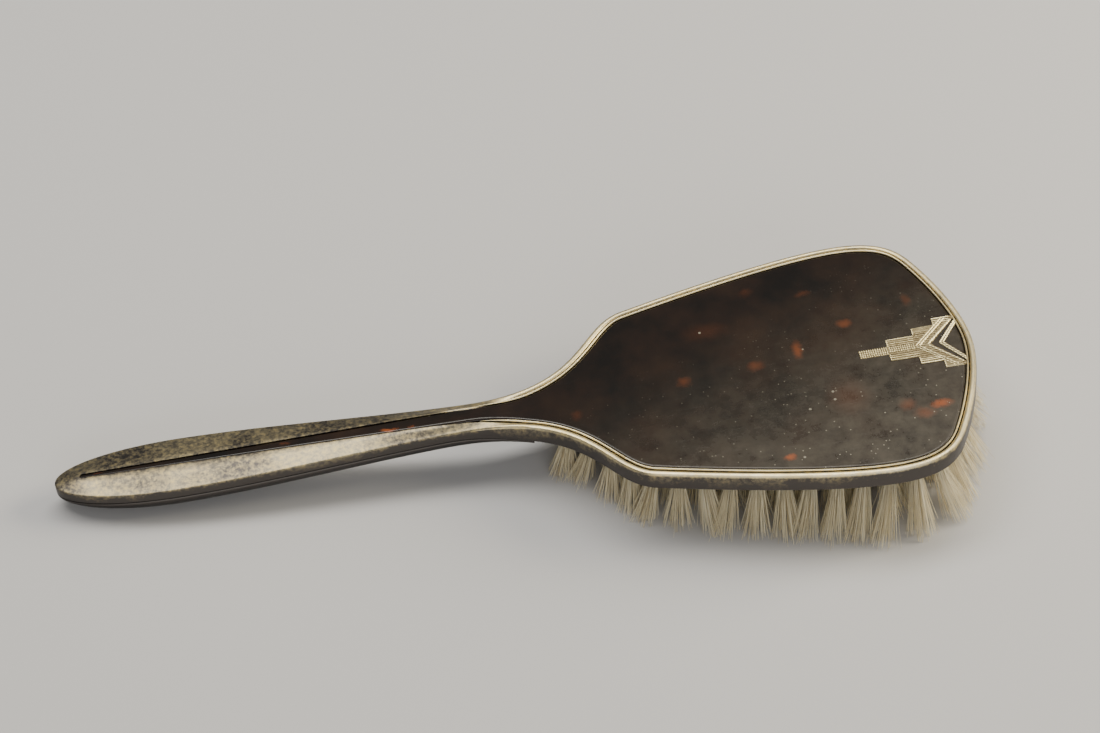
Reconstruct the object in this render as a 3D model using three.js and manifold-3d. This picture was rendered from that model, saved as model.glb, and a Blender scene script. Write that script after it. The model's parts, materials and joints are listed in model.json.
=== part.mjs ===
// Silver-mounted tortoiseshell hairbrush, lying at rest on its bristle tips and the butt of its handle.
// The brush is drawn in its own frame (butt at x = 0, head toward +X, Y across, the rim's top edge
// at z = 0) inside a group that leans it nose-up and sets it down on z = 0. Millimetres throughout.

import * as THREE from 'three';
import { mergeVertices } from 'three/addons/utils/BufferGeometryUtils.js';
import Module from 'manifold-3d';

const wasm = await Module();
wasm.setup();

// ---------- Driving dimensions ----------

const GAP = 0.3;                 // cement line or seam between neighbouring pieces
const REST_LEAN = THREE.MathUtils.degToRad(5);

// Plan outline, butt to head end.
const HANDLE_LENGTH = 112;       // butt to the narrowest part of the neck
const SWELL_AT = 33;             // butt to the handle's widest part
const HANDLE_WIDTH = 19;
const NECK_WIDTH = 10.4;
const SHOULDER_LENGTH = 46;      // neck to where the shoulder's curve runs into the side
const SHOULDER_WIDTH = 62.4;
const SIDE_SLOPE = 0.27;         // how fast the side still widens as it leaves the shoulder
const HEAD_LENGTH = 138;         // neck to the middle of the head's end
const HEAD_WIDTH = 86.4;
const WIDEST_BEFORE_END = 30;
const CORNER_BEFORE_END = 10;    // where the rounded corner runs into the bowed end
const CORNER_WIDTH = 67.2;
const CORNER_SLOPE = -1.83;

// How far each curve is pulled along its tangent before it turns.
const BUTT_PULL = 5.4;
const SWELL_PULL = 19;
const SWELL_LEAVE_PULL = 25;
const NECK_ARRIVE_PULL = 20;
const NECK_LEAVE_PULL = 33;
const SHOULDER_PULL = 13;
const SIDE_PULL = 20;
const WIDEST_ARRIVE_PULL = 15;
const WIDEST_LEAVE_PULL = 11;
const CORNER_PULL = 3.5;
const END_PULL = 12;

// Silver.
const WALL = 1;
const RIM_HEIGHT = 5.6;          // side wall of the head
const FLANGE = 1.2;              // thickness of the turned-in top edge
const EDGE_ROUNDING = 0.6;
const REED_WIDTH = 1.9;          // broad outer moulding of the head's edge
const BEAD_WIDTH = 0.6;          // fine inner moulding that holds the shell panel
const BEAD_HEIGHT = 1.5;
const RIDGE_HEIGHT = 1.3;        // the handle's ridge above its outer edges
const SEAM_DEPTH = 3;            // where the two handle shells meet
const BELLY_DEPTH = 6.9;         // handle shell below the seam, at the swell
const NECK_BELLY_DEPTH = 4.7;

// Tortoiseshell panel with its tail, and the silver inlaid in it.
const PANEL_THICKNESS = 1.5;
const PANEL_RECESS = 0.3;        // panel face below the rim's crest
const TAIL_TIP_AT = 7;
const TAIL_TIP_HALF_WIDTH = 0.7;
const TAIL_ROUND = 2.5;
const NECK_TAIL_HALF_WIDTH = 2.4;
const INLAY_THICKNESS = 0.5;
const INLAY_END_MARGIN = 4;      // head end to the tips of the inlay
const STEM_LENGTH = 7.9;
const STEM_HALF_WIDTH = 1.5;
const STEP_LENGTHS = [7.6, 6.2, 5.8];
const STEP_HALF_WIDTHS = [4.05, 6.85, 9.5];
const FAN_TIP_HALF_WIDTH = 8.7;
const FAN_NOTCH_DEPTH = 8.5;     // tips back to the notch of the fan
const CHEVRON_TIP_HALF_WIDTH = 7.6;
const CHEVRON_DEPTH = 6.3;       // tips back to the chevron's point
const CHEVRON_WIDTH = 1.5;

// Stack inside the head.
const CEMENT_THICKNESS = 0.4;
const COVER_THICKNESS = 0.6;
const BLOCK_THICKNESS = 3.5;
const BLOCK_CHAMFER_DEPTH = 2.4; // rounding of the block's edge below the rim
const BLOCK_CHAMFER_WIDTH = 1.9;

// Bristles, drawn through the block by a wire behind it.
const TUFT_RADIUS = 1.9;
const TUFT_TIP_RADIUS = 2.5;
const TUFT_SIDES = 6;
const TUFT_PITCH = 7;
const ROW_PITCH = 7;
const BORDER_EDGE = 1.2;         // wood left between the border holes and the chamfer
const BORDER_SPLAY = 0.36;       // outward run for each millimetre of drop
const SECOND_SPLAY = 0.18;
const FIRST_TUFT_AFTER_NECK = 24;
const WIRE_WIDTH = 0.8;
const WIRE_HEIGHT = 0.4;
const TUFT_OVER_WIRE = 0.1;      // bristle doubled over the wire

// Handle core.
const ROD_RADIUS = 1;
const ROD_START = 30;
const ROD_DEPTH = 5;
const ROD_IN_BLOCK = 8;
const ROD_SIDES = 12;

// ---------- Levels that follow from the sizes ----------

const LENGTH = HANDLE_LENGTH + HEAD_LENGTH;
const INNER_INSET = WALL + GAP;
const FILLING_INSET = WALL + 2 * GAP;      // the pitch shrinks a little away from the shells
const PANEL_INSET = REED_WIDTH + GAP + BEAD_WIDTH + GAP;
const CEMENT_TOP = -PANEL_RECESS - PANEL_THICKNESS - GAP;
const COVER_TOP = CEMENT_TOP - CEMENT_THICKNESS - GAP;
const WIRE_TOP = COVER_TOP - COVER_THICKNESS - GAP;
const BLOCK_TOP = WIRE_TOP - TUFT_OVER_WIRE - WIRE_HEIGHT - GAP;
const BLOCK_BOTTOM = BLOCK_TOP - BLOCK_THICKNESS;
const HOLE_RADIUS = TUFT_RADIUS + GAP / Math.cos(Math.PI / TUFT_SIDES);
const BORDER_INSET = INNER_INSET + BLOCK_CHAMFER_WIDTH + BORDER_EDGE + HOLE_RADIUS;
const CLEAR = 20;                // cutters reach well past what they cut

// ---------- Materials ----------

function material(color, roughness, metalness) {
  return new THREE.MeshStandardMaterial({ color, roughness, metalness, flatShading: true });
}

const silver = () => material(0xc9bf9d, 0.3, 1);
const inlaySilver = () => material(0xd8cda0, 0.35, 1);
const tortoiseshell = () => material(0x1d120c, 0.3, 0);
const wood = () => material(0x9a6f45, 0.6, 0);
const cement = () => material(0x2a221d, 0.9, 0);
const steel = () => material(0x77797c, 0.45, 1);
const bristle = () => material(0xd9cda6, 0.7, 0);

// ---------- Solids ----------

const WELD_DISTANCE = 1e-4;       // corners closer than this are one corner

function solid(geometry) {
  const bare = geometry.index ? geometry.toNonIndexed() : geometry.clone();
  bare.deleteAttribute('normal');
  bare.deleteAttribute('uv');
  const merged = mergeVertices(bare, WELD_DISTANCE);
  const corners = merged.index.array;
  const kept = [];
  for (let i = 0; i < corners.length; i += 3) {
    const [a, b, c] = corners.slice(i, i + 3);
    if (a !== b && b !== c && c !== a) kept.push(a, b, c);
  }
  return new wasm.Manifold(new wasm.Mesh({
    numProp: 3,
    vertProperties: new Float32Array(merged.attributes.position.array),
    triVerts: new Uint32Array(kept),
  }));
}

function meshOf(name, body, look) {
  const cut = body.getMesh();
  const geometry = new THREE.BufferGeometry();
  const corners = new Float32Array(cut.vertProperties);
  geometry.setAttribute('position', new THREE.BufferAttribute(corners, 3));
  geometry.setIndex(new THREE.BufferAttribute(new Uint32Array(cut.triVerts), 1));
  geometry.computeVertexNormals();
  const mesh = new THREE.Mesh(geometry, look);
  mesh.name = name;
  return mesh;
}

// A skin over rings of equal count. Each ring runs counter-clockwise seen from the last ring's side.
// An end ring that has shrunk to a line on y = 0 closes by itself and gets no cap.
function loft(rings) {
  const count = rings[0].length;
  const indices = [];
  for (let i = 0; i + 1 < rings.length; i += 1) {
    for (let j = 0; j < count; j += 1) {
      const a = i * count + j;
      const b = i * count + ((j + 1) % count);
      indices.push(a, b, a + count, b, b + count, a + count);
    }
  }
  const closesItself = (ring) => ring.every(([, y]) => y === 0);
  const last = (rings.length - 1) * count;
  for (let j = 1; j + 1 < count; j += 1) {
    if (!closesItself(rings[0])) indices.push(0, j + 1, j);
    if (!closesItself(rings.at(-1))) indices.push(last, last + j, last + j + 1);
  }
  const geometry = new THREE.BufferGeometry();
  geometry.setAttribute('position', new THREE.Float32BufferAttribute(rings.flat(2), 3));
  geometry.setIndex(indices);
  return solid(geometry);
}

// A body that is the same on both sides of the centre line: each station lists its +Y side, bottom to top.
function mirroredLoft(stations) {
  return loft(stations.map((side) => {
    const other = side.map(([x, y, z]) => [x, -y, z]).reverse();
    return [...side, ...other];
  }));
}

function block(xFrom, xTo, zFrom, zTo, width) {
  const geometry = new THREE.BoxGeometry(xTo - xFrom, width, zTo - zFrom);
  geometry.translate((xFrom + xTo) / 2, 0, (zFrom + zTo) / 2);
  return solid(geometry);
}

function plateOf(corners, zBottom, zTop) {
  const shape = new THREE.Shape(corners.map(([x, y]) => new THREE.Vector2(x, y)));
  const geometry = new THREE.ExtrudeGeometry(shape, { depth: zTop - zBottom, bevelEnabled: false });
  geometry.translate(0, 0, zBottom);
  return solid(geometry);
}

// ---------- Plan outline ----------

const point = (x, y) => new THREE.Vector2(x, y);
const along = (from, slope, run) => point(from.x + run, from.y + slope * run);

const butt = point(0, 0);
const swell = point(SWELL_AT, HANDLE_WIDTH / 2);
const neck = point(HANDLE_LENGTH, NECK_WIDTH / 2);
const shoulder = point(HANDLE_LENGTH + SHOULDER_LENGTH, SHOULDER_WIDTH / 2);
const widest = point(LENGTH - WIDEST_BEFORE_END, HEAD_WIDTH / 2);
const corner = point(LENGTH - CORNER_BEFORE_END, CORNER_WIDTH / 2);
const end = point(LENGTH, 0);

const outlineCurves = [
  [butt, point(0, BUTT_PULL), along(swell, 0, -SWELL_PULL), swell, 6],
  [swell, along(swell, 0, SWELL_LEAVE_PULL), along(neck, 0, -NECK_ARRIVE_PULL), neck, 7],
  [neck, along(neck, 0, NECK_LEAVE_PULL), along(shoulder, SIDE_SLOPE, -SHOULDER_PULL), shoulder, 9],
  [shoulder, along(shoulder, SIDE_SLOPE, SIDE_PULL), along(widest, 0, -WIDEST_ARRIVE_PULL), widest, 4],
  [widest, along(widest, 0, WIDEST_LEAVE_PULL), along(corner, CORNER_SLOPE, -CORNER_PULL), corner, 5],
  [corner, along(corner, CORNER_SLOPE, CORNER_PULL), point(LENGTH, END_PULL), end, 4],
];

// Samples of the +Y half, each with its outward direction.
const outline = [];
for (const [from, leave, arrive, to, steps] of outlineCurves) {
  const curve = new THREE.CubicBezierCurve(from, leave, arrive, to);
  for (let i = outline.length ? 1 : 0; i <= steps; i += 1) {
    const place = curve.getPoint(i / steps);
    const heading = curve.getTangent(i / steps);
    outline.push({ x: place.x, y: place.y, outX: -heading.y, outY: heading.x });
  }
}
const neckIndex = outline.findIndex((sample) => sample.x >= neck.x - GAP);
const STATIONS_TO_STACK = 2;
const headIndex = neckIndex + STATIONS_TO_STACK;   // the shells part here and the head's stack begins
const SHELL_END = outline[headIndex].x;

function inset(sample, depth) {
  const x = sample.x - sample.outX * depth;
  const y = sample.y - sample.outY * depth;
  return [x, Math.abs(sample.y) < WELD_DISTANCE ? 0 : Math.max(y, 0)];
}

function valueAt(points, x) {
  const found = points.findIndex(([px]) => px >= x);
  const next = found < 0 ? points.length - 1 : Math.max(1, found);
  const [x0, y0] = points[next - 1];
  const [x1, y1] = points[next];
  return THREE.MathUtils.lerp(y0, y1, THREE.MathUtils.clamp((x - x0) / (x1 - x0), 0, 1));
}

// ---------- Heights along the brush ----------

// The handle's top is a low gable: its ridge rises at the butt and fades out through the neck.
function ridgeAt(x) {
  const up = THREE.MathUtils.smoothstep(x, 0, TAIL_TIP_AT);
  const fade = THREE.MathUtils.smoothstep(x, HANDLE_LENGTH, SHELL_END);
  return RIDGE_HEIGHT * up * (1 - fade);
}

const panelTopAt = (x) => ridgeAt(x) - PANEL_RECESS;

const seamBottom = SEAM_DEPTH + GAP;

const bellyCurves = [
  new THREE.CubicBezierCurve(
    butt,
    point(0, BELLY_DEPTH / 2),
    point(SWELL_AT / 2, BELLY_DEPTH),
    point(SWELL_AT, BELLY_DEPTH),
  ),
  new THREE.CubicBezierCurve(
    point(SWELL_AT, BELLY_DEPTH),
    point(SWELL_AT + SWELL_LEAVE_PULL, BELLY_DEPTH),
    point(HANDLE_LENGTH - NECK_ARRIVE_PULL, NECK_BELLY_DEPTH),
    point(HANDLE_LENGTH, NECK_BELLY_DEPTH),
  ),
  new THREE.LineCurve(
    point(HANDLE_LENGTH, NECK_BELLY_DEPTH),
    point(SHELL_END, -BLOCK_BOTTOM - seamBottom),
  ),
];
const BELLY_STEPS = 12;
const bellyPoints = bellyCurves.flatMap((curve) => curve.getPoints(BELLY_STEPS).map((p) => [p.x, p.y]));
const bellyAt = (x) => valueAt(bellyPoints, x);

// The brush lies on the lowest part of the handle's belly and on the bristle tips.
const sinLean = Math.sin(REST_LEAN);
const cosLean = Math.cos(REST_LEAN);
const restHeight = Math.max(...outline.slice(0, headIndex).map(
  ({ x }) => (seamBottom + bellyAt(x)) * cosLean - x * sinLean,
));
const floorAt = (x) => -(restHeight + x * sinLean) / cosLean;

// ---------- Tortoiseshell opening and panel ----------

// Half width of the slot for the tail, or the edge of the opening in the head, pulled in by a clearance.
function openingPoint(sample, index, clearance, headInset) {
  if (index > neckIndex) return inset(sample, headInset);
  if (sample.x <= TAIL_TIP_AT + clearance) return [sample.x, 0];
  const roundedTo = TAIL_TIP_AT + TAIL_ROUND;
  const share = (sample.x - roundedTo) / (HANDLE_LENGTH - roundedTo);
  const width = THREE.MathUtils.lerp(TAIL_TIP_HALF_WIDTH, NECK_TAIL_HALF_WIDTH, Math.max(share, 0));
  return [sample.x, width - clearance];
}

// The tip is one point, and the next station is taken where the slot has opened to its width.
function openingStations(clearance, headInset, bottomAt, topAt) {
  const tip = TAIL_TIP_AT + clearance;
  const places = [[tip, 0]];
  outline.forEach((sample, index) => {
    const opened = sample.x > tip + TAIL_ROUND / 2;
    if (opened) places.push(openingPoint(sample, index, clearance, headInset));
  });
  return places.map(([x, y]) => [[x, y, bottomAt(x)], [x, y, topAt(x)]]);
}

// ---------- Silver back: rim, mouldings and the handle's gabled top, pressed from one sheet ----------

function backFrame() {
  const outside = mirroredLoft(outline.map((sample, index) => {
    const [ridgeX, ridgeY] = openingPoint(sample, index, 0, REED_WIDTH);
    return [
      [sample.x, sample.y, -RIM_HEIGHT],
      [sample.x, sample.y, -EDGE_ROUNDING],
      [...inset(sample, EDGE_ROUNDING), 0],
      [ridgeX, ridgeY, ridgeAt(ridgeX)],
    ];
  }));
  const hollow = mirroredLoft(outline.map((sample, index) => {
    const [x, y] = inset(sample, WALL);
    const [ridgeX, ridgeY] = openingPoint(sample, index, 0, REED_WIDTH);
    const innerX = index > neckIndex ? ridgeX : Math.max(ridgeX, x);
    return [
      [x, y, -RIM_HEIGHT - CLEAR],
      [x, y, -FLANGE],
      [innerX, Math.min(ridgeY, y), ridgeAt(ridgeX) - FLANGE],
    ];
  }));
  const opening = mirroredLoft(openingStations(0, REED_WIDTH, () => -CLEAR, () => CLEAR));
  const shellSpace = block(-CLEAR, SHELL_END + GAP, -CLEAR, -SEAM_DEPTH, HEAD_WIDTH);
  return outside.subtract(hollow).subtract(opening).subtract(shellSpace);
}

// ---------- Silver underside of the handle ----------

const BELLY_SEGMENTS = 6;

// Half of a rounded belly, from its lowest point up to the seam.
function bellySide(sample, shellInset) {
  const [x, y] = inset(sample, shellInset);
  const depth = Math.max(bellyAt(x) - shellInset, 0);
  const side = [];
  for (let i = 0; i <= BELLY_SEGMENTS; i += 1) {
    const angle = (i / BELLY_SEGMENTS) * (Math.PI / 2);
    side.push([x, y * Math.sin(angle), -seamBottom - depth * Math.cos(angle)]);
  }
  return side;
}

function handleShell() {
  const samples = outline.slice(0, headIndex + 1);
  const outside = mirroredLoft(samples.map((sample) => bellySide(sample, 0)));
  const pastEnd = [...samples, outline[headIndex + 1]];        // so that the shell's end stays open
  const hollow = mirroredLoft(pastEnd.map((sample) => {
    const side = bellySide(sample, WALL);
    const [x, y] = side.at(-1);
    return [...side, [x, y, CLEAR]];
  }));
  return outside.subtract(hollow);
}

// ---------- Pitch filling and steel rod that stiffen the hollow handle ----------

// The rod itself, or with a clearance the bore it lies in.
function rod(clearance) {
  const radius = ROD_RADIUS + clearance / Math.cos(Math.PI / ROD_SIDES);
  const length = SHELL_END + ROD_IN_BLOCK - ROD_START + 2 * clearance;
  const geometry = new THREE.CylinderGeometry(radius, radius, length, ROD_SIDES);
  geometry.rotateZ(Math.PI / 2);
  geometry.translate(ROD_START - clearance + length / 2, 0, -ROD_DEPTH);
  return solid(geometry);
}

function pitchFilling() {
  const body = mirroredLoft(outline.slice(0, headIndex + 1).map((sample, index) => {
    const side = bellySide(sample, FILLING_INSET);
    const [x, y] = side.at(-1);
    const [, slot] = openingPoint(sample, index, 0, PANEL_INSET);
    return [
      ...side,
      [x, y, -FLANGE - GAP],
      [x, Math.min(slot, y), Math.min(panelTopAt(x) - PANEL_THICKNESS, ridgeAt(x) - FLANGE) - GAP],
    ];
  }));
  const pastEnd = block(SHELL_END - GAP, LENGTH, -CLEAR, CLEAR, HEAD_WIDTH);
  return body.subtract(pastEnd).subtract(rod(GAP));
}

// ---------- Fine inner moulding that holds the shell panel down ----------

function retainingBead() {
  const samples = outline.slice(neckIndex + 1);
  const band = (depth, low, high) => mirroredLoft(samples.map((sample) => {
    const place = inset(sample, depth);
    return [[...place, low], [...place, high]];
  }));
  const outer = band(REED_WIDTH + GAP, -BEAD_HEIGHT, 0);
  const inner = band(REED_WIDTH + GAP + BEAD_WIDTH, -CLEAR, CLEAR);
  const start = block(0, outline[neckIndex + 1].x + BEAD_WIDTH + GAP, -CLEAR, CLEAR, HEAD_WIDTH);
  return outer.subtract(inner).subtract(start);
}

// ---------- Silver inlay near the head's end ----------

const inlayTip = LENGTH - INLAY_END_MARGIN;
const fanStart = inlayTip - STEP_LENGTHS.reduce((sum, length) => sum + length, 0);
const stemStart = fanStart - STEM_LENGTH;

function mirrored(side) {
  const other = side.filter(([, y]) => y !== 0).map(([x, y]) => [x, -y]).reverse();
  return [...side, ...other];
}

// The stepped edge, from the fan's narrow end to its tip.
function steps(grow) {
  const edge = [];
  let x = fanStart;
  STEP_LENGTHS.forEach((length, i) => {
    edge.push([x - grow, STEP_HALF_WIDTHS[i] + grow]);
    x += length;
    const reach = i + 1 < STEP_LENGTHS.length ? -grow : -CHEVRON_WIDTH / 2;
    edge.push([x + reach, STEP_HALF_WIDTHS[i] + grow]);
  });
  edge.push([inlayTip + grow, FAN_TIP_HALF_WIDTH + grow]);
  return edge;
}

const stemCorners = mirrored([[stemStart, STEM_HALF_WIDTH], [fanStart - GAP, STEM_HALF_WIDTH]]);
const fanCorners = mirrored([
  ...steps(0),
  [inlayTip - GAP, CHEVRON_TIP_HALF_WIDTH + GAP],
  [inlayTip - FAN_NOTCH_DEPTH, 0],
]);
const chevronCorners = mirrored([
  [inlayTip - CHEVRON_DEPTH, 0],
  [inlayTip, CHEVRON_TIP_HALF_WIDTH],
  [inlayTip, CHEVRON_TIP_HALF_WIDTH - CHEVRON_WIDTH],
  [inlayTip - CHEVRON_DEPTH + CHEVRON_WIDTH, 0],
]);
const recessCorners = mirrored([
  [stemStart - GAP, STEM_HALF_WIDTH + GAP],
  [fanStart - GAP, STEM_HALF_WIDTH + GAP],
  ...steps(GAP),
  [inlayTip + GAP, CHEVRON_TIP_HALF_WIDTH - CHEVRON_WIDTH - GAP],
  [inlayTip - CHEVRON_DEPTH + CHEVRON_WIDTH + GAP, 0],
]);

function inlay(corners) {
  return plateOf(corners, -PANEL_RECESS - INLAY_THICKNESS, -PANEL_RECESS);
}

// ---------- Tortoiseshell panel ----------

function panel() {
  const bottomAt = (x) => panelTopAt(x) - PANEL_THICKNESS;
  const sheet = mirroredLoft(openingStations(GAP, PANEL_INSET, bottomAt, panelTopAt));
  return sheet.subtract(plateOf(recessCorners, -PANEL_RECESS - INLAY_THICKNESS - GAP, CLEAR));
}

// ---------- Stack inside the head ----------

function headLayer(top, thickness) {
  return mirroredLoft(outline.slice(headIndex).map((sample) => {
    const place = inset(sample, INNER_INSET);
    return [[...place, top - thickness], [...place, top]];
  }));
}

function bristleBlock(tufts) {
  let body = mirroredLoft(outline.slice(headIndex).map((sample) => [
    [...inset(sample, INNER_INSET + BLOCK_CHAMFER_WIDTH), BLOCK_BOTTOM],
    [...inset(sample, INNER_INSET), BLOCK_BOTTOM + BLOCK_CHAMFER_DEPTH],
    [...inset(sample, INNER_INSET), BLOCK_TOP],
  ]));
  for (const tuft of tufts) {
    const hole = new THREE.CylinderGeometry(HOLE_RADIUS, HOLE_RADIUS, BLOCK_THICKNESS + 2 * GAP, TUFT_SIDES);
    hole.rotateX(Math.PI / 2);
    hole.rotateZ(Math.PI / 2);
    hole.translate(tuft.x, tuft.y, (BLOCK_TOP + BLOCK_BOTTOM) / 2);
    body = body.subtract(solid(hole));
  }
  return body.subtract(rod(GAP));
}

// ---------- Bristles ----------

// Tufts at equal steps along an inset of the outline, from the head's end back toward the neck.
function borderTufts(depth, firstStep, splay) {
  const tufts = [];
  const path = outline.slice(headIndex).reverse().map((sample) => ({ sample, place: inset(sample, depth) }));
  let wanted = firstStep;
  let walked = 0;
  for (let i = 0; i + 1 < path.length; i += 1) {
    const [x0, y0] = path[i].place;
    const [x1, y1] = path[i + 1].place;
    const stretch = Math.hypot(x1 - x0, y1 - y0);
    while (wanted <= walked + stretch) {
      const share = (wanted - walked) / stretch;
      const x = THREE.MathUtils.lerp(x0, x1, share);
      const y = THREE.MathUtils.lerp(y0, y1, share);
      const outX = THREE.MathUtils.lerp(path[i].sample.outX, path[i + 1].sample.outX, share);
      const outY = THREE.MathUtils.lerp(path[i].sample.outY, path[i + 1].sample.outY, share);
      const insideBlock = x >= HANDLE_LENGTH + FIRST_TUFT_AFTER_NECK && (wanted === 0 || y >= TUFT_PITCH / 2);
      if (insideBlock) tufts.push({ x, y, leanX: outX * splay, leanY: outY * splay });
      wanted += TUFT_PITCH;
    }
    walked += stretch;
  }
  const farSide = tufts.map((tuft) => ({ ...tuft, y: -tuft.y, leanY: -tuft.leanY }));
  return [...farSide.filter((tuft) => tuft.y < 0).reverse(), ...tufts];
}

// Straight rows across the field inside the two border rows.
function crossRows(depth) {
  const edge = outline.slice(neckIndex).map((sample) => inset(sample, depth)).filter(([, y]) => y > 0);
  const lastX = LENGTH - depth;
  const rows = [];
  for (let x = lastX; x > HANDLE_LENGTH + FIRST_TUFT_AFTER_NECK; x -= ROW_PITCH) {
    const reach = valueAt(edge, x);
    const stagger = rows.length % 2 ? 0 : TUFT_PITCH / 2;
    const row = [];
    for (let y = stagger; y <= reach; y += TUFT_PITCH) {
      row.push({ x, y, leanX: 0, leanY: 0 });
      if (y > 0) row.unshift({ x, y: -y, leanX: 0, leanY: 0 });
    }
    if (row.length > 1) rows.push(row);
  }
  return rows.reverse();
}

function tuftRing(x, y, radius, zAt) {
  const ring = [];
  for (let i = 0; i < TUFT_SIDES; i += 1) {
    const angle = (i / TUFT_SIDES) * 2 * Math.PI;
    const px = x + radius * Math.cos(angle);
    const py = y + radius * Math.sin(angle);
    ring.push([px, py, zAt(px)]);
  }
  return ring;
}

// One tuft: straight in its hole, then leaning and opening out to a tip trimmed level with the floor.
function tuftBody({ x, y, leanX, leanY }) {
  const drop = BLOCK_BOTTOM - floorAt(x);
  return loft([
    tuftRing(x + leanX * drop, y + leanY * drop, TUFT_TIP_RADIUS, floorAt),
    tuftRing(x, y, TUFT_RADIUS, () => BLOCK_BOTTOM),
    tuftRing(x, y, TUFT_RADIUS, () => WIRE_TOP),
  ]);
}

function wireBetween(from, to) {
  const geometry = new THREE.BoxGeometry(Math.hypot(to.x - from.x, to.y - from.y), WIRE_WIDTH, WIRE_HEIGHT);
  geometry.rotateZ(Math.atan2(to.y - from.y, to.x - from.x));
  geometry.translate(
    (from.x + to.x) / 2,
    (from.y + to.y) / 2,
    WIRE_TOP - TUFT_OVER_WIRE - WIRE_HEIGHT / 2,
  );
  return solid(geometry);
}

function tuftRow(tufts) {
  let row = tuftBody(tufts[0]);
  for (let i = 1; i < tufts.length; i += 1) {
    row = row.add(tuftBody(tufts[i])).add(wireBetween(tufts[i - 1], tufts[i]));
  }
  return row;
}

// ---------- Assembly ----------

const borderRow = borderTufts(BORDER_INSET, 0, BORDER_SPLAY);
const secondRow = borderTufts(BORDER_INSET + ROW_PITCH, TUFT_PITCH / 2, SECOND_SPLAY);
const innerRows = crossRows(BORDER_INSET + 2 * ROW_PITCH);
const allTufts = [...borderRow, ...secondRow, ...innerRows.flat()];

const brush = new THREE.Group();
brush.add(meshOf('silver_back_frame', backFrame(), silver()));
brush.add(meshOf('silver_handle_shell', handleShell(), silver()));
brush.add(meshOf('panel_retaining_bead', retainingBead(), silver()));
brush.add(meshOf('tortoiseshell_panel', panel(), tortoiseshell()));
brush.add(meshOf('inlay_ribbed_stem', inlay(stemCorners), inlaySilver()));
brush.add(meshOf('inlay_stepped_fan', inlay(fanCorners), inlaySilver()));
brush.add(meshOf('inlay_chevron', inlay(chevronCorners), inlaySilver()));
brush.add(meshOf('panel_cement_bed', headLayer(CEMENT_TOP, CEMENT_THICKNESS), cement()));
brush.add(meshOf('bristle_block_cover', headLayer(COVER_TOP, COVER_THICKNESS), wood()));
brush.add(meshOf('bristle_block', bristleBlock(allTufts), wood()));
brush.add(meshOf('handle_pitch_filling', pitchFilling(), cement()));
brush.add(meshOf('handle_core_rod', rod(0), steel()));
brush.add(meshOf('bristle_border_row', tuftRow(borderRow), bristle()));
brush.add(meshOf('bristle_second_row', tuftRow(secondRow), bristle()));
innerRows.forEach((tufts, i) => {
  const name = `bristle_row_${String(i + 1).padStart(2, '0')}`;
  brush.add(meshOf(name, tuftRow(tufts), bristle()));
});

// Lean the brush nose-up, set it on z = 0 and centre its box over the origin.
brush.rotation.y = -REST_LEAN;
brush.position.z = restHeight;
brush.updateMatrixWorld(true);
const box = new THREE.Box3().setFromObject(brush, true);
brush.position.x = -(box.min.x + box.max.x) / 2;

const hairbrush = new THREE.Group();
hairbrush.add(brush);

export default hairbrush;
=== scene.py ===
import json
import math
import random

import bmesh
import bpy
from mathutils import Matrix, Vector


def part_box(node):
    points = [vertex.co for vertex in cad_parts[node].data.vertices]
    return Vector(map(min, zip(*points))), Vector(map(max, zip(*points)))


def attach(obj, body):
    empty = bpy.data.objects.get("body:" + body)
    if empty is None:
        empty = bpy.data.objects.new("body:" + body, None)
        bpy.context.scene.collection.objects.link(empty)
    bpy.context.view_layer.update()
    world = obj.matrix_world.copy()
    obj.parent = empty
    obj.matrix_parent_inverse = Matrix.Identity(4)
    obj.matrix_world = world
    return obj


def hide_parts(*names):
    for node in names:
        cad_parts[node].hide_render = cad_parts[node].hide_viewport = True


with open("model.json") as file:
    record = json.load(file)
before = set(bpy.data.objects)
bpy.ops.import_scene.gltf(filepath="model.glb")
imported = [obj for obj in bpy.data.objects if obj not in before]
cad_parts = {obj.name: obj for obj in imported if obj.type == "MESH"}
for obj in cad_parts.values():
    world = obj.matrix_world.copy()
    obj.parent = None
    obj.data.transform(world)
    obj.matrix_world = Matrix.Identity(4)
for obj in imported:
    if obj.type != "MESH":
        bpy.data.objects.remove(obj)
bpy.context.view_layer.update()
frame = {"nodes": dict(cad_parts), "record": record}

MM = 0.001


# ---------- Where the brush lies ----------
# The brush lies on its bristle tips and the belly of its handle, leaning nose-up. Everything below is
# drawn in the brush's own frame, butt at x = 0 and the rim's crest at z = 0, and then laid down.

PANEL_RECESS = 0.3 * MM
panel_mount = next(m for m in frame["record"]["mounts"] if m["name"] == "panel_face")
panel_up = Vector(panel_mount["axis"])
panel_point = Vector(panel_mount["pos_m"])
butt_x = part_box("silver_back_frame")[0][0]
crest_z = panel_point.z + (panel_up.x * (panel_point.x - butt_x) + PANEL_RECESS) / panel_up.z
lean = math.asin(-panel_up.x)
lay_down = Matrix.Translation((butt_x, 0, crest_z)) @ Matrix.Rotation(-lean, 4, "Y")
pick_up = lay_down.inverted()


# ---------- Camera ----------
# A level camera looks down at 45 degrees from the near side, turned a little toward the handle.

CAMERA_ELEVATION = math.radians(45)
CAMERA_TURN = math.radians(-7.82)
CAMERA_DISTANCE = 0.81
CAMERA_AIM = Vector((7.5 * MM, 9.1 * MM, 24.6 * MM))

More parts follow.
